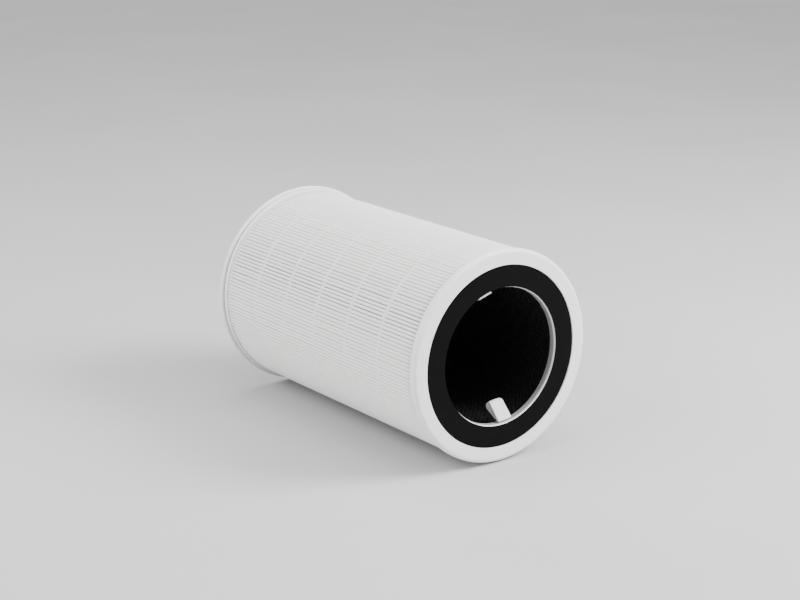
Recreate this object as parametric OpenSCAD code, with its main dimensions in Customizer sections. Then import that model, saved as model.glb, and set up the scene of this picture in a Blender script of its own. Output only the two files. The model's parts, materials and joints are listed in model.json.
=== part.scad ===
// Cylindrical three-layer filter cartridge of a room air purifier.
// Air enters all round through the pleated paper, passes the carbon and leaves by the open core.
// The cartridge lies on its side: its axis runs along +Y, the end with the pull tabs faces -Y,
// and the rim of the rear cap rests on z = 0. Millimetres.

/* [Cartridge] */
// Length from the front cap's face to the rear cap's face
cartridge_length = 322; // [240:1:360]
// Outer radius of the front cap
front_cap_r = 100; // [99.5:0.1:101]
// Outer radius of the rear cap's flange, the widest part
rear_flange_r = 102; // [101:0.1:104]
// Radius of the open core at the caps' collars
core_r = 64.3; // [63.5:0.1:64.5]

/* [Caps] */
// Length of the front cap's skirt over the pleats
front_skirt = 7.2; // [7:0.1:9]
// Thickness of the rear cap's flange
rear_flange = 4; // [3:0.1:5]
// Length of the rear cap from its face to the end of its skirt
rear_skirt = 9; // [8:0.1:9.3]
// Length of the collar that lines the core's mouth
collar_length = 8; // [7.5:0.1:8.3]
// Radius of the round edge of the front cap
front_round = 4; // [2:0.1:4]

/* [Gaskets] */
// Outer radius of the foam ring
gasket_r = 85.6; // [80:0.1:86]
// Thickness of the foam
gasket_thick = 3.6; // [2:0.1:3.6]
// How far the foam lies below the cap's rim
gasket_below = 0.8; // [0.5:0.1:1.5]

/* [Pleated media] */
// Number of pleats round the cartridge
pleats = 174; // [100:1:180]
// Radius of the pleats' outer folds
pleat_outer_r = 98.1; // [97:0.1:98.1]
// Radius of the pleats' inner folds
pleat_inner_r = 77; // [77:0.1:80]
// Thickness of the filter paper
paper = 0.45; // [0.3:0.01:0.5]
// Number of hot-melt lines that space the pleats
bead_count = 5; // [3:1:9]
// Distance between the hot-melt lines
bead_pitch = 50.8; // [25:0.1:52]

/* [Pull tabs] */
// Width of the woven ribbon
ribbon_width = 16; // [10:0.1:16]
// Thickness of the woven ribbon
ribbon_thick = 0.4; // [0.3:0.05:0.5]
// Length of the loop from its root to the middle of its fold
loop_length = 17.4; // [15:0.1:25]
// Outer radius of the loop's fold
fold_r = 4; // [2:0.1:4]
// Angle between the lower loop and the cartridge's axis at rest
lower_lean = 41; // [25:1:60]
// Angle between the upper loop and the cartridge's axis at rest
upper_lean = 14; // [12:1:60]
// How far round the lower tab sits from the lowest line of the core
lower_offset = 6.5; // [0:0.5:20]
// How far round the upper tab sits from the highest line of the core
upper_offset = 17; // [0:0.5:20]

/* [Hidden] */
$fn = 120;
gap = 0.1;                       // room between pieces that are glued together
wall = 1.7;                      // thickness of the caps' walls
tape = 0.2;                      // thickness of the gaskets' adhesive film

// The caps' section
collar_r = core_r + wall;        // back of the collar
recess_r = gasket_r + 0.2;       // side of the gasket's recess
recess = gasket_below + gasket_thick + tape;
web_back = recess + 2;           // inner side of the plate under the gasket
rim_plate = 2.2;                 // thickness of the raised rim
skirt_inner_r = pleat_outer_r + 0.3;
rear_skirt_r = skirt_inner_r + 1.2;
lip = gasket_below + 0.6;        // depth of the collar's edge, under the foam
lip_flare = 1;                   // how far the collar's edge opens
lip_depth = 2.4;                 // length of that opening
edge_round = 0.8;                // round of the rear flange's edges
groove = 0.7;                    // groove at the foot of the rear flange

// The layers, from the core outwards
media_end = web_back + 2.8;      // depth of the potted ends of all layers
layer_length = cartridge_length - 2 * media_end;
inner_net = [67.4, 67.9];
carbon = [68, 73.7];
outer_net = [73.8, 74.3];
frame = [74.6, 75.8];
inner_bead = [76, 76.9];
frame_rings = 9;
frame_ribs = 16;
frame_bar = 3;                   // width of the support frame's bars

// The pleats
pleat_step = 360 / pleats;
fold_depth = pleat_outer_r - pleat_inner_r;
half_pitch = 3.14159 * (pleat_outer_r + pleat_inner_r) / 2 / pleats;
fold_inset = paper * sqrt(fold_depth * fold_depth + half_pitch * half_pitch) / half_pitch;
bead_width = 4.2;
bead_height = 0.6;

// The pull tabs
lower_turn = 90 - lower_offset;
upper_turn = 270 - upper_offset;
two_plies = 2 * ribbon_thick;
root_depth = 3.8;                // depth of the line where a loop bends
root_r = core_r - 2;             // radius of that line, clear of the ribbon on the collar
root_circle = ribbon_thick + 0.02;
tail_start = root_depth + 0.4;

// Carries a piece from its own frame, with its axis on z and the front face at 0, to its place.
module lying() {
    translate([0, -cartridge_length / 2, rear_flange_r]) rotate([-90, 0, 0]) children();
}

// The same for a piece that is drawn as it would be on the front end but sits on the rear end.
module lying_rear() {
    lying() translate([0, 0, cartridge_length]) mirror([0, 0, 1]) children();
}

// A plain tube between two radii and two depths.
module tube(r, from, to) {
    rotate_extrude() translate([r[0], from]) square([r[1] - r[0], to - from]);
}

// Section shared by both caps: collar, plate under the gasket and the side of its recess.
module cap_core_section() {
    difference() {
        union() {
            translate([core_r, lip]) square([wall, collar_length - lip]);
            translate([core_r, recess]) square([recess_r + wall - core_r, web_back - recess]);
            translate([recess_r, 0]) square([wall, web_back]);
        }
        polygon([
            [core_r - 1, lip - 1], [core_r + lip_flare, lip - 1], [core_r + lip_flare, lip],
            [core_r, lip + lip_depth], [core_r - 1, lip + lip_depth],
        ]);
    }
}

module front_cap() {
    round_r = front_cap_r - front_round;
    color("white") lying() rotate_extrude() {
        cap_core_section();
        translate([recess_r, 0]) square([round_r - recess_r, rim_plate]);
        difference() {
            translate([round_r, front_round]) {
                circle(front_round);
                square([front_round, front_skirt - front_round]);
            }
            translate([round_r - front_round, rim_plate])
                square([skirt_inner_r - round_r + front_round, 2 * front_round]);
        }
    }
}

module rear_cap() {
    color("white") lying_rear() rotate_extrude() {
        cap_core_section();
        translate([recess_r, 0]) square([rear_flange_r - edge_round - recess_r, rim_plate]);
        difference() {
            translate([skirt_inner_r, 0]) square([rear_skirt_r - skirt_inner_r, rear_skirt]);
            translate([rear_skirt_r - groove, rear_flange]) square([2 * groove, groove]);
        }
        translate([skirt_inner_r, 0])
            square([rear_flange_r - edge_round - skirt_inner_r, rear_flange]);
        translate([rear_flange_r - 2 * edge_round, edge_round])
            square([2 * edge_round, rear_flange - 2 * edge_round]);
        for (z = [edge_round, rear_flange - edge_round])
            translate([rear_flange_r - edge_round, z]) circle(edge_round, $fn = 40);
    }
}

// Foam ring. Its inner edge is pressed over the collar, so it is thinner there.
module gasket() {
    rotate_extrude() {
        translate([collar_r + gap, gasket_below])
            square([gasket_r - collar_r - gap, gasket_thick]);
        translate([core_r + lip_flare, gasket_below])
            square([wall, lip - gasket_below - 0.05]);
    }
}

module front_gasket() { color([0.1, 0.1, 0.1]) lying() gasket(); }
module rear_gasket() { color([0.1, 0.1, 0.1]) lying_rear() gasket(); }

module gasket_tape() {
    tube([collar_r + 1, gasket_r - 1], recess - tape, recess);
}

module front_gasket_tape() { color([0.85, 0.8, 0.6]) lying() gasket_tape(); }
module rear_gasket_tape() { color([0.85, 0.8, 0.6]) lying_rear() gasket_tape(); }

// Hot-melt adhesive that fills a cap's channel and holds the ends of all layers.
module potting() {
    rotate_extrude() {
        translate([recess_r + wall + gap, rim_plate + gap])
            square([skirt_inner_r - recess_r - wall - 2 * gap, web_back - rim_plate]);
        translate([inner_net[0], web_back + gap])
            square([skirt_inner_r - gap - inner_net[0], media_end - web_back - gap]);
    }
}

module front_potting() { color([0.93, 0.92, 0.88]) lying() potting(); }
module rear_potting() { color([0.93, 0.92, 0.88]) lying_rear() potting(); }

// Corners of a star with one point for each pleat.
function star(outer, inner) = [
    for (i = [0:2 * pleats - 1])
        let (r = i % 2 == 0 ? outer : inner, a = i * pleat_step / 2)
        [r * cos(a), r * sin(a)]
];

module pleated_media() {
    color("ivory") lying() translate([0, 0, media_end]) linear_extrude(layer_length)
        difference() {
            polygon(star(pleat_outer_r, pleat_inner_r + fold_inset));
            polygon(star(pleat_outer_r - fold_inset, pleat_inner_r));
        }
}

// Glue that closes the paper strip into a tube: it fills one outer valley from end to end.
module media_seam() {
    seam_turn = (round(pleats * 0.12) + 0.5) * pleat_step;
    deep = pleat_inner_r + fold_inset + 0.5;
    shallow = pleat_outer_r - 0.5;
    half = 0.9 * half_pitch;
    color([0.93, 0.92, 0.88]) lying() translate([0, 0, media_end]) rotate(seam_turn)
        linear_extrude(layer_length) polygon([[deep, 0], [shallow, -half], [shallow, half]]);
}

// One bead for each hot-melt line, centred on the cartridge's length.
module at_beads() {
    for (i = [0:bead_count - 1])
        translate([0, 0, cartridge_length / 2 + (i - (bead_count - 1) / 2) * bead_pitch])
            children();
}

module outer_glue_beads() {
    arc_r = (bead_width * bead_width / 4 + bead_height * bead_height) / (2 * bead_height);
    base_r = pleat_outer_r + 0.05;
    color([0.96, 0.95, 0.92]) lying() at_beads() rotate_extrude() intersection() {
        translate([base_r + bead_height - arc_r, 0]) circle(arc_r);
        translate([base_r, -bead_width / 2]) square([bead_height, bead_width]);
    }
}

module inner_glue_beads() {
    color([0.96, 0.95, 0.92]) lying() at_beads()
        tube(inner_bead, -bead_width / 2, bead_width / 2);
}

// Open cage that keeps the pleats off the carbon.
module support_frame() {
    span = layer_length - frame_bar;
    color([0.9, 0.9, 0.9]) lying() translate([0, 0, media_end]) {
        for (i = [0:frame_rings - 1])
            translate([0, 0, i * span / (frame_rings - 1)]) tube(frame, 0, frame_bar);
        intersection() {
            tube(frame, 0, layer_length);
            for (i = [0:frame_ribs - 1])
                rotate(i * 360 / frame_ribs) translate([frame[0] - 1, -frame_bar / 2, 0])
                    cube([frame[1] - frame[0] + 2, frame_bar, layer_length]);
        }
    }
}

module layer(r) {
    lying() tube(r, media_end, media_end + layer_length);
}

module carbon_outer_net() { color([0.2, 0.2, 0.2]) layer(outer_net); }
module carbon_bed() { color([0.05, 0.05, 0.05]) layer(carbon); }
module carbon_inner_net() { color([0.1, 0.1, 0.1]) layer(inner_net); }

// The two plies of a ribbon's tails, glued to the collar's wall and wrapped round its back edge.
module tab_root(turn) {
    inner = core_r - 0.05 - two_plies;
    outer = collar_r + 0.05;
    edge = collar_length + 0.05;
    color("whitesmoke") lying() rotate(turn) intersection() {
        rotate_extrude() {
            translate([inner, tail_start]) square([two_plies, edge + two_plies - tail_start]);
            translate([inner, edge]) square([outer + two_plies - inner, two_plies]);
            translate([outer, web_back + gap])
                square([two_plies, edge + two_plies - web_back - gap]);
        }
        translate([0, -ribbon_width / 2, 0]) cube([collar_r + 5, ribbon_width, 20]);
    }
}

module lower_tab_root() { tab_root(lower_turn); }
module upper_tab_root() { tab_root(upper_turn); }

// Points on an arc about a centre on the first axis.
function arc(centre, r, from, to, steps) = [
    for (i = [0:steps])
        let (a = from + (to - from) * i / steps)
        [centre + r * cos(a), r * sin(a)]
];

// Outline of a drop: a large arc round the fold and a small one round the root.
function drop(end_r, root) =
    let (side = 90 + asin((end_r - root) / loop_length))
    concat(arc(loop_length, end_r, -side, side, 28), arc(0, root, side, 360 - side, 8));

// A loop of ribbon that stands in the core's mouth. It bends on the line at its root.
module pull_tab(turn, lean) {
    color("white") lying() rotate(turn) translate([root_r, 0, root_depth])
        rotate([0, 90 - lean, 0]) mirror([1, 0, 0]) rotate([90, 0, 0])
            translate([0, 0, -ribbon_width / 2]) linear_extrude(ribbon_width)
                difference() {
                    union() {
                        polygon(drop(fold_r, root_circle));
                        circle(root_circle + 0.03, $fn = 40);
                    }
                    polygon(drop(fold_r - ribbon_thick, root_circle - ribbon_thick));
                }
}

module lower_pull_tab() { pull_tab(lower_turn, lower_lean); }
module upper_pull_tab() { pull_tab(upper_turn, upper_lean); }

front_cap();
rear_cap();
front_gasket();
rear_gasket();
front_gasket_tape();
rear_gasket_tape();
front_potting();
rear_potting();
pleated_media();
media_seam();
outer_glue_beads();
inner_glue_beads();
support_frame();
carbon_outer_net();
carbon_bed();
carbon_inner_net();
lower_tab_root();
upper_tab_root();
lower_pull_tab();
upper_pull_tab();
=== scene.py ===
"""The looks of a cylindrical air filter cartridge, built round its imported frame."""

import json

import bpy
import numpy as np
from mathutils import Matrix, Vector


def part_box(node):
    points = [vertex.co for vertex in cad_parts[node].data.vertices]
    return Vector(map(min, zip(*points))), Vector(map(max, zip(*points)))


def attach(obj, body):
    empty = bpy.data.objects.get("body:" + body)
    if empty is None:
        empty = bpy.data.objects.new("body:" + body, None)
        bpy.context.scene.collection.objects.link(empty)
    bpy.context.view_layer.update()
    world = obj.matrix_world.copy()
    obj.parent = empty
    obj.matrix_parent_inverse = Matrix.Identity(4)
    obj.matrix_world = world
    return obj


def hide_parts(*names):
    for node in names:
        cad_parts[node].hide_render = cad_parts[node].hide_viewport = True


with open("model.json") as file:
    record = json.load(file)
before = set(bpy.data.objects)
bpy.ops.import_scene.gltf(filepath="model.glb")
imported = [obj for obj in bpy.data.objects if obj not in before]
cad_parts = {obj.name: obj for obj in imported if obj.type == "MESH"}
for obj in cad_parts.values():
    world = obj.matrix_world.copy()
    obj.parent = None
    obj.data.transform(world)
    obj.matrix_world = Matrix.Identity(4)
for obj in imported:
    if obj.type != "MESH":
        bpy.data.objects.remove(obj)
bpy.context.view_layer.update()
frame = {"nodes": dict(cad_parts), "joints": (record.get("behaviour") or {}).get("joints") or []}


# Carbon granules
# The inmost filter layer is a bed of activated carbon: dull black broken granules of about
# 4 mm, held between two nets. Only the layer that faces the core is made as single granules.

front_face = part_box("front_cap")[0].y
rear_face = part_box("rear_cap")[1].y
cartridge_length = rear_face - front_face
axis_height = (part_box("rear_cap")[0].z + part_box("rear_cap")[1].z) / 2
layer_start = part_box("carbon_bed")[0].y - front_face
layer_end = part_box("carbon_bed")[1].y - front_face
dice = np.random.default_rng(41)


def at(radius, turn, depth):
    """Point at a radius and a turn about the axis, a depth behind the front face.

    x = radius * cos(turn), z = height of the axis - radius * sin(turn), y = front face + depth.
    """
    radius, turn, depth = np.broadcast_arrays(radius, turn, depth)
    across = radius * np.cos(turn)
    up = axis_height - radius * np.sin(turn)
    return np.stack([across, front_face + depth, up], -1)


def skin(name, grid, body="cartridge", ring=True, uv=None):
    """Mesh over one grid of points, or over several of the same size.

    Each cell of a grid is one quad. The columns close on themselves, and so do the rows of a
    ring; the first and last row of anything else get an end face. The faces are turned over
    if the volume that they enclose, a sum of a . (b x c) over triangles, comes out negative.
    """
    rows, columns = grid.shape[-3:-1]
    points = grid.reshape(-1, 3)
    cell = np.arange(len(points)).reshape(-1, rows, columns)
    below = np.roll(cell, -1, 1)
    quads = np.stack([cell, below, np.roll(below, -1, 2), np.roll(cell, -1, 2)], -1)
    quads = quads[:, : rows if ring else -1].reshape(-1, 4)
    ends = np.concatenate([cell[:, 0], cell[:, -1, ::-1]])[: 0 if ring else None]
    volume = 0
    for faces in (quads, ends):
        around = points[faces]
        cross = np.cross(around[:, 1:-1], around[:, 2:])
        volume += (around[:, :1] * cross).sum()
    if volume < 0:
        quads, ends = quads[:, ::-1], ends[:, ::-1]
    mesh = bpy.data.meshes.new(name)
    mesh.from_pydata(points, [], quads.tolist() + ends.tolist())
    mesh.polygons.foreach_set("use_smooth", np.arange(len(quads) + len(ends)) < len(quads))
    if uv is not None:
        corners = np.concatenate([quads.ravel(), ends.ravel()])
        layer = mesh.uv_layers.new(name="cloth")
        layer.data.foreach_set("uv", uv.reshape(-1, 2)[corners].ravel())
    mesh.update()
    piece = bpy.data.objects.new(name, mesh)
    bpy.context.scene.collection.objects.link(piece)
    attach(piece, body)
    return piece


class Signal:
    """A shader socket that can be written in sums: each operator adds one Math node."""

    def __init__(self, finish, socket):
        self.finish = finish
        self.socket = socket

    def maths(self, operation, first, second=None):
        sockets = {0: first} if second is None else {0: first, 1: second}
        return self.finish.node("ShaderNodeMath", {"operation": operation}, sockets)

    def __add__(self, other):
        return self.maths("ADD", self, other)

    __radd__ = __add__

    def __mul__(self, other):
        return self.maths("MULTIPLY", self, other)

    __rmul__ = __mul__

    def __sub__(self, other):
        return self.maths("SUBTRACT", self, other)

    def __rsub__(self, other):
        return self.maths("SUBTRACT", other, self)

    def __truediv__(self, other):
        return self.maths("DIVIDE", self, other)

    def __pow__(self, other):
        return self.maths("POWER", self, other)

    def __lt__(self, other):
        return self.maths("LESS_THAN", self, other)

    def __abs__(self):
        return self.maths("ABSOLUTE", self)

    def sine(self):
        return self.maths("SINE", self)


class Finish:
    """One material: a Principled shader and the nodes that feed it."""

    def __init__(self, name, **constants):
        self.material = bpy.data.materials.new(name)
        self.material.use_nodes = True
        self.tree = self.material.node_tree
        self.tree.nodes.clear()
        self.shader = self.tree.nodes.new("ShaderNodeBsdfPrincipled")
        output = self.tree.nodes.new("ShaderNodeOutputMaterial")
        self.tree.links.new(self.shader.outputs["BSDF"], output.inputs["Surface"])
        self.feed(self.shader, {k.replace("_", " "): v for k, v in constants.items()})
        self.place = self.node("ShaderNodeTexCoord", out="Object")

    def feed(self, node, sockets):
        for key, value in sockets.items():
            if isinstance(value, Signal):
                self.tree.links.new(value.socket, node.inputs[key])
            else:
                node.inputs[key].default_value = value

    def node(self, kind, settings=None, sockets=None, out=0):
        """Any node: its settings first, then its sockets' values or links, and one output."""
        made = self.tree.nodes.new(kind)
        for key, value in (settings or {}).items():
            if key == "stops":
                ramp = made.color_ramp
                while len(ramp.elements) < len(value):
                    ramp.elements.new(0.5)
                for element, (position, grey) in zip(ramp.elements, value):
                    element.position = position
                    element.color = (grey, grey, grey, 1)
            else:
                setattr(made, key, value)
        self.feed(made, sockets or {})
        return Signal(self, made.outputs[out])

    def noise(self, scale, detail=3.0, place=None):
        sockets = {"Vector": place or self.place, "Scale": scale, "Detail": detail}
        return self.node("ShaderNodeTexNoise", None, sockets)

    def cells(self, scale, feature="F1"):
        sockets = {"Vector": self.place, "Scale": scale}
        return self.node("ShaderNodeTexVoronoi", {"feature": feature}, sockets)

    def ramp(self, value, stops):
        return self.node("ShaderNodeValToRGB", {"stops": stops}, {"Fac": value})

    def mix(self, share, first, second):
        """Colour between two colours."""
        sockets = {0: share, 6: first, 7: second}
        return self.node("ShaderNodeMix", {"data_type": "RGBA"}, sockets, out=2)

    def part(self, axis, vector=None):
        """One component of a vector, which is the place in metres if none is given."""
        return self.node("ShaderNodeSeparateXYZ", None, {"Vector": vector or self.place}, out=axis)

    def radius(self):
        """Distance from the cartridge's axis, in metres."""
        across = self.part("X")
        up = self.part("Z") - axis_height
        return (across * across + up * up) ** 0.5

    def surface(self, **sockets):
        self.feed(self.shader, {k.replace("_", " "): v for k, v in sockets.items()})
        return self

    def relief(self, height, depth, strength=1.0):
        """Bump of a height from 0 to 1, in metres, on the shader's normal."""
        sockets = {"Height": height, "Distance": depth, "Strength": strength}
        return self.surface(Normal=self.node("ShaderNodeBump", None, sockets, out="Normal"))


def dress(piece, finish):
    piece.data.materials.clear()
    piece.data.materials.append(finish.material)


GRANULE = 0.0038
BED_THICKNESS = 0.0057
bed_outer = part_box("carbon_bed")[1].x
bed_inner = bed_outer - BED_THICKNESS


def granule_field(turns, depths):
    """How far each point lies below the granules' crests, in metres.

    Every cell of a grid holds one centre, moved at random, and the nearest centre's granule
    is a dome: depth below the crest = (distance in cells) squared * granule size + a random
    sink, cut off where the gap between two granules would get too deep.
    """
    deepest_gap = 0.0025
    around = int(2 * np.pi * bed_inner / GRANULE)
    along = int((layer_end - layer_start) / GRANULE) + 3
    shift = dice.uniform(0.1, 0.9, (around, along, 2))
    sink = dice.uniform(0, 0.0006, (around, along))
    u = turns / (2 * np.pi) * around
    v = (depths - layer_start) / GRANULE + 1
    u, v = np.meshgrid(u, v, indexing="ij")
    nearest = np.full(u.shape, 9.0)
    for i in (-1, 0, 1):
        for j in (-1, 0, 1):
            cu, cv = np.floor(u).astype(int) + i, np.floor(v).astype(int) + j
            spot = cu % around, np.clip(cv, 0, along - 1)
            gap = (u - cu - shift[spot][..., 0]) ** 2 + (v - cv - shift[spot][..., 1]) ** 2
            nearest = np.minimum(nearest, gap + sink[spot] / GRANULE)
    return np.minimum(nearest * GRANULE, deepest_gap)


turns = np.linspace(0, 2 * np.pi, 330, endpoint=False)
depths = np.linspace(layer_start, layer_end, 240)
crests = at(bed_inner + granule_field(turns, depths), turns[:, None], depths)
back = at(bed_outer, turns[:, None], np.array([layer_end, layer_start]))
granules = skin("carbon_granules", np.concatenate([crests, back], 1))

carbon = Finish("activated_carbon", IOR=1.5, Specular_IOR_Level=0.25)
grit = carbon.noise(900, 6)
carbon.surface(
    Base_Color=carbon.ramp(carbon.noise(260, 2), [(0.3, 0.0035), (0.7, 0.009)]),
    Roughness=0.62 + 0.25 * grit,
)
carbon.relief(grit, 0.0004, 0.8)
dress(granules, carbon)
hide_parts("carbon_bed")


# Nets of the carbon layer
# Extruded black polypropylene net on both sides of the granules: two sets of thin strands
# that cross at a slant and are welded where they cross. The outer net is out of sight.

STRAND = 0.00042
MESH_PITCH = 0.0052
LAYER_GAP = 0.00008
net_r = bed_inner - 0.0004


def slanting_strands(lean, radius):
    """Strands at an even pitch that run along a helix from one end of the layer to the other.

    Turn = start + lean * (depth - first depth) / radius, with a small diamond section.
    """
    count = int(2 * np.pi * radius / MESH_PITCH)
    start = np.linspace(0, 2 * np.pi, count, endpoint=False)[:, None, None]
    depth = np.linspace(layer_start, layer_end, 72)[None, :, None]
    corner = np.arange(4) * np.pi / 2
    turn = start + (lean * (depth - layer_start) + STRAND * np.sin(corner)) / radius
    return at(radius + 0.45 * STRAND * np.cos(corner), turn, depth)


strands = [slanting_strands(1, net_r - LAYER_GAP), slanting_strands(-1, net_r + LAYER_GAP)]
net = skin("carbon_net", np.concatenate(strands), ring=False)

black_net = Finish("black_net", IOR=1.48, Specular_IOR_Level=0.3)
scuff = black_net.noise(700, 4)
black_net.surface(
    Base_Color=black_net.ramp(scuff, [(0.3, 0.004), (0.8, 0.011)]),
    Roughness=0.5 + 0.2 * scuff,
)
black_net.relief(scuff, 0.0001, 0.5)
dress(net, black_net)
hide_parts("carbon_inner_net")
dress(frame["nodes"]["carbon_outer_net"], black_net)


# Support frame
# Moulded cage between the carbon layer and the pleats: rings joined by ribs, in a natural
# white polypropylene with faint flow marks.

cage_plastic = Finish("cage_plastic", IOR=1.49, Specular_IOR_Level=0.4)
flow = cage_plastic.noise(60, 4)
cage_plastic.surface(
    Base_Color=cage_plastic.ramp(flow, [(0.3, 0.62), (0.7, 0.72)]),
    Roughness=0.42 + 0.2 * flow,
)
cage_plastic.relief(cage_plastic.noise(1500, 2), 0.00005, 0.4)
dress(frame["nodes"]["support_frame"], cage_plastic)


# Pleated paper
# One long strip of white glass-fibre paper on a fleece backing, 0.45 mm thick, folded to and
# fro and bent round to a tube. Its folds are round, and no two pleats stand quite alike.

PLEATS = 174
PAPER = 0.00045
FOLD_DEPTH = 0.0211
tip_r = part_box("pleated_media")[1].x
root_r = tip_r - FOLD_DEPTH
pleat_step = 2 * np.pi / PLEATS
seam_pleat = 21
beside_seam = slice(seam_pleat - 1, seam_pleat + 3)
bead_pitch = 0.0508
bead_middles = cartridge_length / 2 + bead_pitch * np.arange(-2, 3)

lean = dice.uniform(-0.00017, 0.00017, PLEATS)
lean[beside_seam] = 0
tip_turns = pleat_step * np.arange(PLEATS) + lean / tip_r
held = np.concatenate([[layer_start], bead_middles, [layer_end]])
bow = dice.uniform(-0.00015, 0.00015, (PLEATS, len(held) - 1))
bow[beside_seam] = 0


def pleat_line():
    """Middle of the paper across every pleat: (radius, turn, pleat, share of a tip's sway).

    A tip is a half circle, a valley is a smaller one, and straight flanks join them.
    """
    tip, valley = 0.00122, 0.0005
    arc = np.radians([-90, -65, -42, -20, 0, 20, 42, 65, 90])
    crest_r = tip_r - PAPER / 2 - tip
    floor_r = root_r + PAPER / 2 + valley
    crest = np.stack([crest_r + tip * np.cos(arc), tip * np.sin(arc) / crest_r], -1)
    dip = np.radians([-90, -45, 0, 45, 90])
    trough_turn = pleat_step / 2 + valley * np.sin(dip) / floor_r
    trough = np.stack([floor_r - valley * np.cos(dip), trough_turn], -1)
    flank = (crest[-1:] * 2 + trough[:1]) / 3
    rise_end = crest[:1] + [0, pleat_step]
    climb = (trough[-1:] + rise_end * 2) / 3
    line = np.concatenate([crest, flank, trough, climb])
    radius = np.tile(line[:, 0], PLEATS)
    pleat = np.arange(PLEATS)[:, None]
    turn = (pleat * pleat_step + line[:, 1]).ravel()
    owner = (pleat + (np.arange(len(line)) >= len(line) - 1)).ravel() % PLEATS
    sway = np.clip((radius - root_r) / (tip_r - root_r), 0, 1) ** 1.5
    return radius, turn, owner, sway


radius, turn, owner, sway = pleat_line()
paper_middle = np.stack([radius * np.cos(turn), radius * np.sin(turn)], -1)
run = np.roll(paper_middle, -1, 0) - np.roll(paper_middle, 1, 0)
run /= np.linalg.norm(run, axis=1, keepdims=True)
half_paper = np.stack([run[:, 1], -run[:, 0]], -1) * PAPER / 2
outside, inside = paper_middle + half_paper, paper_middle - half_paper

outer_depths = np.unique(np.concatenate([
    np.linspace(a, b, 6) for a, b in zip(held[:-1], held[1:])
]))
inner_depths = np.linspace(layer_end, layer_start, 4)


def swayed(points, depth):
    """The folds lean and bow sideways: a bow is a sine between two glue lines."""
    span = np.clip(np.searchsorted(held, depth, side="right") - 1, 0, len(held) - 2)
    share = (depth - held[span]) / (held[span + 1] - held[span])
    shift = lean[owner][:, None] + bow[owner][:, span] * np.sin(np.pi * share)
    r = np.hypot(points[:, 0], points[:, 1])[:, None]
    t = np.arctan2(points[:, 1], points[:, 0])[:, None] + sway[:, None] * shift / r
    return at(r, t, depth)


sheet = np.concatenate([swayed(outside, outer_depths), swayed(inside, inner_depths)], 1)
paper = skin("pleated_paper", sheet)

filter_paper = Finish("filter_paper", IOR=1.45, Specular_IOR_Level=0.2, Sheen_Weight=0.15)
fibre_map = filter_paper.node(
    "ShaderNodeMapping", None, {"Vector": filter_paper.place, "Scale": (1, 0.25, 1)}
)
fibre = filter_paper.noise(2600, 4, fibre_map)
cloud = filter_paper.noise(55, 3)
height_share = (filter_paper.radius() - root_r) / (tip_r - root_r)
# Painted shade: the paper's colour goes from a darker, creamier grey in the valleys to a lighter white
# at the tips.
painted_valley_shade = filter_paper.ramp(height_share, [(0.3, 0.0), (0.97, 1.0)])
tone = filter_paper.mix(painted_valley_shade, (0.80, 0.78, 0.75, 1), (0.86, 0.85, 0.84, 1))
speck = filter_paper.ramp(fibre * 0.7 + cloud * 0.3, [(0.3, 0.0), (0.75, 1.0)])
filter_paper.surface(
    Base_Color=filter_paper.mix(speck * 0.4, tone, (0.92, 0.915, 0.905, 1)),
    Roughness=0.78 + 0.15 * fibre,
)
dent = filter_paper.noise(180, 2)
filter_paper.relief(fibre * 0.6 + dent * 0.4, 0.00022, 0.75)
dress(paper, filter_paper)
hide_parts("pleated_media")


# Paper seam
# The two ends of the paper strip meet in one valley, which is filled with glue from end to
# end. The glue shrank as it set, so its face sags between the two pleats and waves a little.

HALF_SEAM = 0.0006
seam_turn = (seam_pleat + 0.5) * pleat_step
seam_depths = np.linspace(layer_start, layer_end, 60)[:, None]
seam_side = np.array([-1, -0.7, -0.35, 0, 0.35, 0.7, 1, 0.6, 0, -0.6])
seam_sag = 0.00095 - 0.00045 * seam_side[:7] ** 2
seam_wave = 0.00005 * np.sin(260 * seam_depths) + 0.00008 * np.sin(97 * seam_depths + 1)
top_r = tip_r - seam_sag + seam_wave
foot_r = np.full((len(seam_depths), 3), root_r + 0.0012)
seam_r = np.concatenate([top_r, foot_r], 1)
seam_turns = seam_turn + HALF_SEAM * seam_side / seam_r
seam = skin("paper_seam", at(seam_r, seam_turns, seam_depths), ring=False)
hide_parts("media_seam")


# Hot-melt lines
# Five lines of milky hot-melt glue cross the paper before it is folded, on both of its faces.
# After folding they bridge the mouths of the valleys and keep the pleats apart.

hot_melt = Finish("hot_melt", IOR=1.48, Specular_IOR_Level=0.45)
milk = hot_melt.noise(240, 4)
hot_melt.surface(
    Base_Color=hot_melt.ramp(milk, [(0.3, 0.80), (0.7, 0.88)]),
    Roughness=0.36 + 0.22 * milk,
)
hot_melt.relief(hot_melt.noise(600, 3), 0.0002, 0.5)

STEPS = 8
BRIDGE = 0.0021
GLUE_FILM = 0.00006
GLUE_DEPTH = 0.0022
pleat_share = np.arange(PLEATS * STEPS) / STEPS
all_tips = np.append(tip_turns, tip_turns[0] + 2 * np.pi)
glue_turn = np.interp(pleat_share, np.arange(PLEATS + 1), all_tips)
valley_dip = np.sin(np.pi * pleat_share) ** 2


def wander(size, waves):
    """Slow random change round a ring: a sum of a few whole waves with random phases."""
    phase = dice.uniform(0, 2 * np.pi, waves)
    wave = [np.sin((k + 2) * glue_turn + phase[k]) / (k + 1) for k in range(waves)]
    return size * np.sum(wave, 0)


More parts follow.
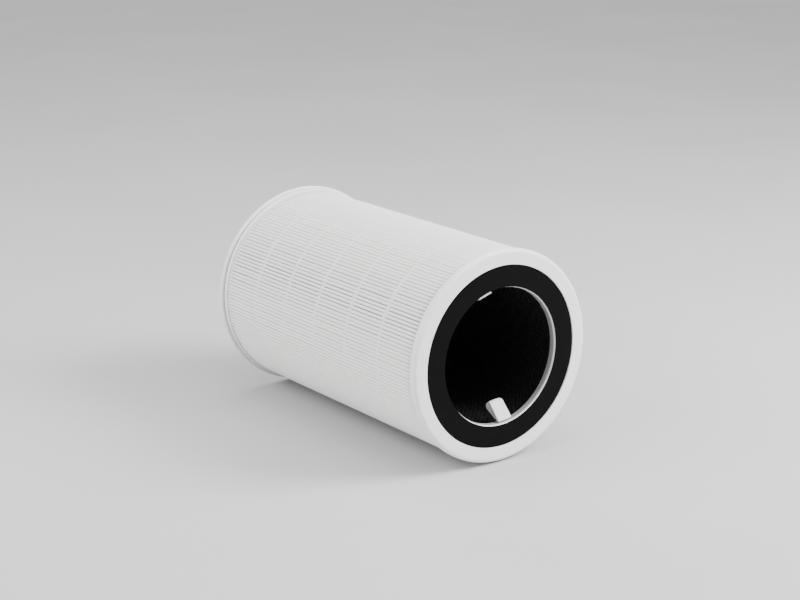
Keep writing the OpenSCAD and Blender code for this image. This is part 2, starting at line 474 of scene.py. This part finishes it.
def glue_ring(middle):
    """One ring of glue. Its outer face is an arch across its width and sags in each valley.

    Outer radius = tips + film - sag * valley dip - arch * (place across the width) squared.
    """
    across = np.linspace(-1, 1, 9)
    sag = 0.0004 + 0.0003 * dice.uniform(0, 1, PLEATS).repeat(STEPS)
    level = tip_r + GLUE_FILM - sag * valley_dip
    width = BRIDGE * (1 + wander(0.05, 9) + 0.12 * np.cos(2 * np.pi * pleat_share))
    outer_r = level[:, None] - 0.0005 * across ** 2
    outer_depth = middle + wander(0.00016, 7)[:, None] + width[:, None] * across
    inner_depth = middle + width[:, None] * np.array([0.8, -0.8])
    outer = at(outer_r, glue_turn[:, None], outer_depth)
    inner = at(tip_r - GLUE_DEPTH, glue_turn[:, None], inner_depth)
    return np.concatenate([outer, inner], 1)


glue = skin("hot_melt_lines", np.stack([glue_ring(m) for m in bead_middles]))
dress(glue, hot_melt)
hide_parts("outer_glue_beads")
dress(frame["nodes"]["inner_glue_beads"], hot_melt)


# Potting
# Both ends of all layers stand in a ring of cast adhesive inside the cap. It creeps a little
# way up the paper, so the valleys get shallower just before the cap.

potting_glue = Finish("potting_glue", IOR=1.5, Specular_IOR_Level=0.4)
cast = potting_glue.noise(120, 4)
potting_glue.surface(
    Base_Color=potting_glue.ramp(cast, [(0.3, 0.70), (0.7, 0.80)]),
    Roughness=0.45 + 0.2 * cast,
)
potting_glue.relief(potting_glue.noise(420, 3), 0.0003, 0.6)
dress(seam, potting_glue)

FRONT, REAR = 1, -1
ENDS = ((FRONT, "front"), (REAR, "rear"))


def rounded(corners, steps=5):
    """Closed outline through (radius, depth, rounding) corners, in metres.

    A corner is cut back by its rounding along both sides, and a quadratic curve joins the
    cuts. A point close to each end of a curve keeps the shading of the flat sides even.
    """
    points = []
    for k, (r, z, rounding) in enumerate(corners):
        here = np.array([r, z])
        before = np.array(corners[k - 1][:2]) - here
        after = np.array(corners[(k + 1) % len(corners)][:2]) - here
        cuts = []
        for way in (before, after):
            length = np.linalg.norm(way)
            reach = min(rounding, 0.45 * length)
            cuts.append((way / length * reach, way / length * min(1.25 * reach, 0.48 * length)))
        share = np.linspace(0, 1, steps)[:, None]
        curve = (1 - share) ** 2 * cuts[0][0] + share ** 2 * cuts[1][0]
        points.append(here + np.concatenate([cuts[0][1][None], curve, cuts[1][1][None]]))
    return np.concatenate(points)


def turned(name, end, outline):
    """Outline of (radius, depth) turned about the axis, at the front end or mirrored at the rear."""
    steps = 288
    depth = outline[:, 1] if end == FRONT else cartridge_length - outline[:, 1]
    turns = np.linspace(0, 2 * np.pi, steps, endpoint=False)[:, None]
    return skin(name, at(outline[:, 0], turns, depth))


POTTING_IN, POTTING_OUT, POTTING_FLOOR = 0.0674, 0.0983, 0.0069
potting_outline = rounded([
    (POTTING_IN, POTTING_FLOOR, 0.0003), (POTTING_OUT, POTTING_FLOOR, 0.0003),
    (POTTING_OUT, layer_start, 0.0004), (0.0966, layer_start + 0.0016, 0.001),
    (0.0900, layer_start + 0.0034, 0.002), (0.0765, layer_start + 0.0030, 0.001),
    (POTTING_IN, layer_start, 0.0005),
])
for end, where in ENDS:
    piece = turned(f"{where}_potting_ring", end, potting_outline)
    dress(piece, potting_glue)
    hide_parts(f"{where}_potting")


# End caps
# Injection-moulded white plastic rings with a satin skin. A channel takes the ends of the
# layers, a recess takes the foam ring, and a thin collar lines the mouth of the core. The
# groove at the foot of the rear flange and the collar's inner wall are painted a dark grey
# as painted shade.

cap_plastic = Finish("cap_plastic", IOR=1.5, Specular_IOR_Level=0.45)
satin = cap_plastic.noise(1300, 3)
haze = cap_plastic.noise(9, 3)
rub = cap_plastic.ramp(cap_plastic.noise(70, 6), [(0.56, 0.0), (0.72, 1.0)])
edge_wear = cap_plastic.ramp(cap_plastic.radius() * 10, [(0.985, 0.0), (1.0, 1.0)]) * rub
skin_tone = cap_plastic.mix(haze, (0.84, 0.845, 0.86, 1), (0.89, 0.89, 0.90, 1))
worn_tone = cap_plastic.mix(edge_wear * 0.25, skin_tone, (0.66, 0.655, 0.64, 1))
GROOVE_MIDDLE, HALF_GROOVE, GROOVE_TOP = 0.0045, 0.0009, 0.0993
COLLAR_SKIN = 0.0647
beside_groove = abs(cap_plastic.part("Y") - (rear_face - GROOVE_MIDDLE))
in_groove = (cap_plastic.radius() < GROOVE_TOP) * (beside_groove < HALF_GROOVE)
on_collar = cap_plastic.radius() < COLLAR_SKIN
# Painted shade: the groove at the foot of the rear flange and the collar's inner wall get a dark grey
# colour where shade falls.
painted_groove_and_collar_shade = in_groove * 0.8 + on_collar * 0.8
cap_plastic.surface(
    Base_Color=cap_plastic.mix(painted_groove_and_collar_shade, worn_tone, (0.13, 0.13, 0.13, 1)),
    Roughness=0.40 + 0.12 * satin + 0.1 * edge_wear,
)
cap_plastic.relief(satin, 0.0001, 0.6)

front_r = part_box("front_cap")[1].x
flange_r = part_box("rear_cap")[1].x
COLLAR_R, COLLAR_BACK, COLLAR_LIP = 0.0643, 0.0660, 0.0653
RECESS_R, CHANNEL_R, SKIRT_IN, REAR_SKIRT_OUT, GROOVE_R = 0.0858, 0.0875, 0.0984, 0.0996, 0.0987
RECESS_FLOOR, PLATE_BACK, RIM_PLATE = 0.0046, 0.0066, 0.0022
LIP_DEPTH, COLLAR_END, FRONT_SKIRT, REAR_SKIRT = 0.0014, 0.0080, 0.0072, 0.0090
MOUTH = [
    (RECESS_R, 0.0, 0.0004), (RECESS_R, RECESS_FLOOR, 0.0003), (COLLAR_BACK, RECESS_FLOOR, 0.0003),
    (COLLAR_BACK, LIP_DEPTH, 0.0003), (COLLAR_LIP, LIP_DEPTH, 0.0003), (COLLAR_R, 0.0038, 0.0010),
    (COLLAR_R, COLLAR_END, 0.0003), (COLLAR_BACK, COLLAR_END, 0.0003),
    (COLLAR_BACK, PLATE_BACK, 0.0002), (CHANNEL_R, PLATE_BACK, 0.0002), (CHANNEL_R, RIM_PLATE, 0.0003),
    (SKIRT_IN, RIM_PLATE, 0.0003),
]
front_outline = rounded(MOUTH + [
    (SKIRT_IN, FRONT_SKIRT, 0.0003), (front_r, FRONT_SKIRT, 0.0012), (front_r, 0.0, 0.0042),
], steps=7)
rear_outline = rounded(MOUTH + [
    (SKIRT_IN, REAR_SKIRT, 0.0002), (REAR_SKIRT_OUT, REAR_SKIRT, 0.0006),
    (REAR_SKIRT_OUT, 0.0052, 0.0002), (GROOVE_R, 0.0050, 0.0002), (GROOVE_R, 0.0040, 0.0002),
    (flange_r, 0.0038, 0.0008), (flange_r, 0.0, 0.0008),
], steps=5)
for (end, where), outline in zip(ENDS, (front_outline, rear_outline)):
    piece = turned(f"{where}_end_cap", end, outline)
    dress(piece, cap_plastic)
    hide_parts(f"{where}_cap")


# Foam gaskets
# Rings cut from black closed-cell foam, 3.6 mm thick, stuck in the caps' recesses with an
# adhesive film. The inner edge is thinner where it laps over the collar.

foam = Finish("black_foam", IOR=1.45, Specular_IOR_Level=0.05)
pores = foam.cells(1500, "SMOOTH_F1")
lump = foam.noise(160, 4)
dust = foam.ramp(foam.noise(2400, 2), [(0.66, 0.0), (0.78, 1.0)])
foam_tone = foam.mix(lump, (0.0034, 0.0034, 0.0037, 1), (0.0056, 0.0056, 0.0060, 1))
foam.surface(
    Base_Color=foam.mix(dust * 0.25, foam_tone, (0.030, 0.030, 0.030, 1)),
    Roughness=0.82 + 0.12 * lump,
)
foam.relief(pores * 0.7 + lump * 0.3, 0.00035, 0.7)

film = Finish("adhesive_film", IOR=1.48, Specular_IOR_Level=0.5)
film_ripple = film.noise(300, 4)
film.surface(
    Base_Color=film.mix(film_ripple, (0.62, 0.55, 0.34, 1), (0.72, 0.66, 0.46, 1)),
    Roughness=0.25 + 0.2 * film_ripple,
)
film.relief(film_ripple, 0.0001, 0.4)

FOAM_OUT, FOAM_IN = 0.0856, 0.0661
foam_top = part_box("front_gasket")[0].y - front_face
foam_back, lap_back = foam_top + 0.0036, foam_top + 0.00055
foam_outline = rounded([
    (FOAM_OUT, foam_top, 0.0007), (FOAM_OUT, foam_back, 0.0003), (FOAM_IN, foam_back, 0.0003),
    (FOAM_IN, lap_back, 0.0001), (COLLAR_LIP, lap_back, 0.00015), (COLLAR_LIP, foam_top, 0.0004),
], steps=6)
for end, where in ENDS:
    piece = turned(f"{where}_foam_ring", end, foam_outline)
    dress(piece, foam)
    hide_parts(f"{where}_gasket")
    dress(frame["nodes"][f"{where}_gasket_tape"], film)


# Pull tabs
# Two loops of white woven ribbon, 16 mm wide, that a hand pulls to lift the cartridge out. The
# tails are glued to the collar and wrap round its back edge; the loop bends at its root.

RIBBON = 0.016
THICK = 0.0004
THREAD = 0.00045
LEANS = np.radians([41, 14])
CUPS = (0.0004, 0.0025)

woven = Finish("woven_ribbon", IOR=1.5, Specular_IOR_Level=0.35, Sheen_Weight=0.3)
cloth = woven.node("ShaderNodeUVMap", {"uv_map": "cloth"})
warp = (woven.part("X", cloth) * (np.pi / THREAD)).sine()
weft = (woven.part("Y", cloth) * (np.pi / THREAD)).sine()
crossing = abs(warp) ** 0.6 * (0.65 + 0.35 * warp * weft)
fuzz = woven.noise(1800, 4)
# Painted shade: the ribbon is darker in the gaps between its threads; the fuzz adds a tone that
# differs at random.
weave_shade_and_fuzz = crossing * 0.6 + fuzz * 0.4
woven.surface(
    Base_Color=woven.mix(weave_shade_and_fuzz, (0.70, 0.715, 0.74, 1), (0.86, 0.875, 0.90, 1)),
    Roughness=0.55 + 0.2 * fuzz,
)
woven.relief(crossing * 0.8 + fuzz * 0.2, 0.00012, 0.7)


def ribbon(name, body, path, place, thick, ring):
    """Ribbon carried along a path of (inward, deeper) steps from its root.

    The section is flat with pinched edges. Normal = (-deeper, inward) of the line between a
    point's neighbours, and place() turns inward, deeper and sideways steps into points.
    """
    across = np.linspace(-1, 1, 11)
    half = thick / 2 * np.minimum(1, 12 * (1 - across ** 2))
    section_side = np.concatenate([across, across[-2:0:-1]]) * RIBBON / 2
    section_half = np.concatenate([half, -half[-2:0:-1]])
    step = np.roll(path, -1, 0) - np.roll(path, 1, 0) if ring else np.gradient(path, axis=0)
    step /= np.linalg.norm(step, axis=1, keepdims=True)
    inward = path[:, :1] - step[:, 1:] * section_half
    deeper = path[:, 1:] + step[:, :1] * section_half
    length = np.concatenate([[0], np.cumsum(np.linalg.norm(np.diff(path, axis=0), axis=1))])
    uv = np.stack(np.broadcast_arrays(section_side, length[:, None]), -1)
    piece = skin(name, place(inward, deeper, section_side), body, ring, uv)
    dress(piece, woven)
    return piece


LOOP = 0.0174
FOLD = 0.004 - THICK / 2
ROOT = 0.00022


def drop_path(lean):
    """Middle of the ribbon round a loop that leans by an angle from the cartridge's axis.

    A large arc round the fold and a small one round the root are joined by straight lines.
    The path starts inside the root, where the two ends of the real ribbon are hidden.
    """
    side = np.pi / 2 + np.arcsin((FOLD - ROOT) / LOOP)
    big = np.linspace(-side, side, 33)
    small = np.linspace(side, 2 * np.pi - side, 7)
    fold = np.stack([LOOP + FOLD * np.cos(big), FOLD * np.sin(big)], -1)
    root = np.stack([ROOT * np.cos(small), ROOT * np.sin(small)], -1)
    share = np.linspace(0, 1, 8)[1:-1, None]
    back = fold[-1] + (root[0] - fold[-1]) * share
    out = root[-1] + (fold[0] - root[-1]) * share
    away, aside = np.concatenate([root[3:], out, fold, back, root[:3]]).T
    inward = away * np.sin(lean) - aside * np.cos(lean)
    deeper = away * np.cos(lean) + aside * np.sin(lean)
    return np.stack([inward, deeper], -1)


def loop_place(root, cup):
    """Placing of a loop's points from its root, with a fold that is cupped and narrowed.

    Reach = (distance from the root / loop length) squared and edge = side / half width; a
    point moves outward by cup * reach * edge squared and loses 6 % of its side * reach.
    """
    radial = np.array([root[0], 0, root[2] - axis_height])
    radial /= np.linalg.norm(radial)
    deep = np.array([0, 1, 0])

    def place(inward, deeper, side):
        reach = (inward ** 2 + deeper ** 2) / (LOOP + FOLD) ** 2
        edge = side / (RIBBON / 2)
        outward = cup * reach * edge ** 2 - inward
        further = deeper - 0.0005 * reach * edge ** 4
        sideways = side * (1 - 0.06 * reach)
        steps = ((outward, radial), (further, deep), (sideways, np.cross(radial, deep)))
        return root + sum(size[..., None] * way for size, way in steps)

    return place


TAIL_R = 0.0645


def tail_place(root):
    """Placing of a tail's points on the round wall of the collar.

    Radius = -inward and turn = the root's turn + sideways / radius of the wall.
    """
    turn = np.arctan2(axis_height - root[2], root[0])

    def place(inward, deeper, side):
        return at(-inward, turn + side / TAIL_R, deeper)

    return place


# rounded() closes its outline, so the slice cuts away the stretch that closes it.
TAIL = rounded([
    (-0.0624, 0.0028, 0.0001), (-0.0626, 0.0041, 0.0004), (-0.06385, 0.0052, 0.0008),
    (-0.06385, 0.00845, 0.0004), (-0.06645, 0.00845, 0.0004), (-0.06645, 0.0068, 0.0001),
], steps=5)[7:-4]
for joint, loop_lean, cup in zip(frame["joints"], LEANS, CUPS):
    where = joint["name"].split("_")[0]
    root = np.array(joint["pos_m"])
    tails = ribbon(f"{where}_tails", "cartridge", TAIL, tail_place(root), 2 * THICK, False)
    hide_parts(f"{where}_tab_root")
    path = drop_path(loop_lean)
    loop = ribbon(f"{where}_loop", f"{where}_tab", path, loop_place(root, cup), THICK, True)
    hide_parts(f"{where}_pull_tab")


# Floor, light and camera
# A pale studio floor, three large soft lights under an even white sky, and one camera that
# looks at the tab end from above and from its left.

floor_size = 24.0
floor_mesh = bpy.data.meshes.new("studio_floor")
edge = floor_size / 2
floor_mesh.from_pydata(
    [(-edge, -edge, 0), (edge, -edge, 0), (edge, edge, 0), (-edge, edge, 0)], [], [(0, 1, 2, 3)]
)
floor = bpy.data.objects.new("studio_floor", floor_mesh)
bpy.context.scene.collection.objects.link(floor)
floor_paint = Finish("floor_paint", Specular_IOR_Level=0.2)
floor_paint.surface(
    Base_Color=floor_paint.ramp(floor_paint.noise(3, 2), [(0.3, 0.50), (0.7, 0.53)]),
    Roughness=0.75 + 0.1 * floor_paint.noise(40),
)
floor_mesh.materials.append(floor_paint.material)

middle = Vector((0, front_face + cartridge_length / 2, axis_height))


def soft_light(name, offset, size, power):
    """A square area light at an offset from the cartridge's middle, aimed at it."""
    lamp = bpy.data.lights.new(name, "AREA")
    lamp.size = size
    lamp.energy = power
    holder = bpy.data.objects.new(name, lamp)
    bpy.context.scene.collection.objects.link(holder)
    away = Vector(offset)
    aim = away.to_track_quat("Z", "Y").to_matrix().to_4x4()
    holder.matrix_world = Matrix.Translation(middle + away) @ aim


soft_light("right", (1.1, -1.1, 1.1), 0.9, 72)
soft_light("left", (-1.7, 0.3, 1.3), 1.3, 46)
soft_light("top", (-0.1, 0.2, 1.9), 1.6, 12)

sun = bpy.data.lights.new("sky", "SUN")
sun.energy = 1.7
sun.angle = 1.4
sky = bpy.data.objects.new("sky", sun)
bpy.context.scene.collection.objects.link(sky)
sky.matrix_world = Vector((0.3, -0.5, 1.6)).to_track_quat("Z", "Y").to_matrix().to_4x4()

world = bpy.data.worlds.new("studio")
bpy.context.scene.world = world
world.use_nodes = True
world.node_tree.nodes["Background"].inputs["Color"].default_value = (1, 1, 1, 1)
world.node_tree.nodes["Background"].inputs["Strength"].default_value = 0.6

camera_data = bpy.data.cameras.new("camera")
camera_data.lens = 79.6
camera_data.sensor_width = 36
camera = bpy.data.objects.new("camera", camera_data)
bpy.context.scene.collection.objects.link(camera)
forward = Vector((0.57742, 0.76913, -0.27390))
face_centre = Vector((0, front_face, axis_height))
camera_place = face_centre + Vector((-0.98998, -1.16435, 0.48830))
camera_aim = forward.to_track_quat("-Z", "Y").to_matrix().to_4x4()
camera.matrix_world = Matrix.Translation(camera_place) @ camera_aim
bpy.context.scene.camera = camera
